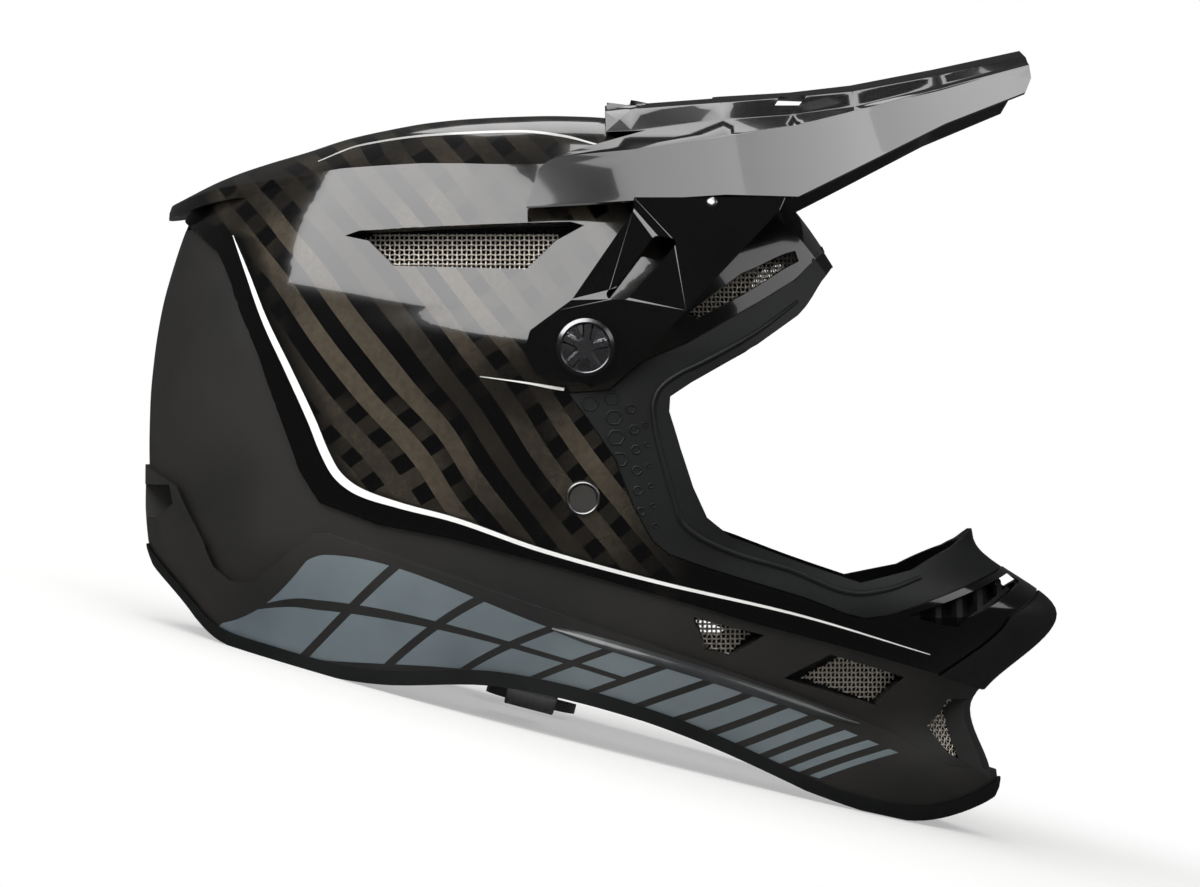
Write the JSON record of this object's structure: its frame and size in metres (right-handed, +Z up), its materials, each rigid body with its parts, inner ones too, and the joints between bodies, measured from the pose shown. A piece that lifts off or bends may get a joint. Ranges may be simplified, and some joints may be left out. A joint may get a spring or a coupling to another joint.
{
  "type": "downhill bicycle full face helmet",
  "caption": "Full face cycling helmet with a tilting folded visor, chin bar with mesh vents, foam and fabric lining and a ringed chin strap, standing on its rim.",
  "frame": {"origin": "on the surface the helmet stands on, under the middle of its bounding box", "axes": "+X forward, the way the wearer looks, +Y to the wearer's left, +Z up"},
  "size_m": [0.383, 0.253, 0.3071],
  "materials": {
    "satin_shell": "satin",
    "gloss_shell": "gloss clear coat over woven fibre",
    "chin_panel": "satin",
    "rubber_trim": "matt",
    "wire_mesh": "woven wire",
    "louvre": "moulded",
    "foam": "beaded foam",
    "lining": "knitted",
    "snap": "moulded",
    "visor": "satin",
    "screw": "moulded",
    "washer": "matt",
    "nut": "turned",
    "rivet": "black coated",
    "webbing": "woven",
    "ring": "stamped"
  },
  "bodies": {
    "shell": {"base_shell": "satin_shell", "carbon_overlay": "gloss_shell", "chin_vent_panel": "chin_panel", "eyeport_trim": "rubber_trim", "rim_trim": "rubber_trim", "side_vent_mesh_right": "wire_mesh", "side_vent_mesh_left": "wire_mesh", "brow_vent_mesh_right": "wire_mesh", "brow_vent_mesh_left": "wire_mesh", "cheek_vent_mesh_right": "wire_mesh", "cheek_vent_mesh_left": "wire_mesh", "chin_vent_mesh_right": "wire_mesh", "chin_vent_mesh_left": "wire_mesh", "front_vent_mesh_right": "wire_mesh", "front_vent_mesh_left": "wire_mesh", "rear_vent_mesh_right": "wire_mesh", "rear_vent_mesh_left": "wire_mesh", "rear_exhaust_mesh": "wire_mesh", "chin_slot_louvre_right": "louvre", "chin_slot_louvre_left": "louvre", "eps_crown": "foam", "eps_chin": "foam", "eps_cheek_right": "foam", "eps_cheek_left": "foam", "comfort_liner": "lining", "neck_roll": "lining", "chin_pad": "lining", "cheek_pad_right": "lining", "cheek_pad_left": "lining", "liner_snaps": "snap", "cheek_snaps_right": "snap", "cheek_snaps_left": "snap", "visor_pivot_washer_right": "washer", "visor_pivot_washer_left": "washer", "visor_crown_washer": "washer", "visor_pivot_nut_right": "nut", "visor_pivot_nut_left": "nut", "visor_crown_nut": "nut", "strap_rivet_right": "rivet", "strap_rivet_left": "rivet", "strap_washers_right": "rivet", "strap_washers_left": "rivet", "chin_strap_long": "webbing", "chin_strap_short": "webbing"},
    "visor": {"visor": "visor"},
    "pivot_screw_right": {"visor_pivot_screw_right": "screw"},
    "pivot_screw_left": {"visor_pivot_screw_left": "screw"},
    "crown_screw": {"visor_crown_screw": "screw"},
    "inner_ring": {"d_ring_inner": "ring"},
    "outer_ring": {"d_ring_outer": "ring"}
  },
  "joints": [
    {"name": "visor_tilt", "type": "hinge", "parent": "shell", "child": "visor", "pos_m": [-0.01686, 0, 0.1465], "axis": [0, -1, 0], "range_deg": [-5, 8]},
    {"name": "pivot_screw_right_turn", "type": "hinge", "parent": "shell", "child": "pivot_screw_right", "pos_m": [-0.01686, 0, 0.1465], "axis": [0, -1, 0], "continuous": true},
    {"name": "pivot_screw_left_turn", "type": "hinge", "parent": "shell", "child": "pivot_screw_left", "pos_m": [-0.01686, 0, 0.1465], "axis": [0, 1, 0], "continuous": true},
    {"name": "crown_screw_turn", "type": "hinge", "parent": "shell", "child": "crown_screw", "pos_m": [-0.01919, 0, 0.24043], "axis": [-0.0247, 0, 0.9997], "continuous": true},
    {"name": "inner_ring_swing", "type": "hinge", "parent": "shell", "child": "inner_ring", "pos_m": [-0.00341, 0.0545, 0.00499], "axis": [-1, 0, 0], "range_deg": [0, 60]},
    {"name": "outer_ring_swing", "type": "hinge", "parent": "shell", "child": "outer_ring", "pos_m": [-0.00341, 0.0595, 0.00499], "axis": [-1, 0, 0], "range_deg": [0, 60]}
  ]
}
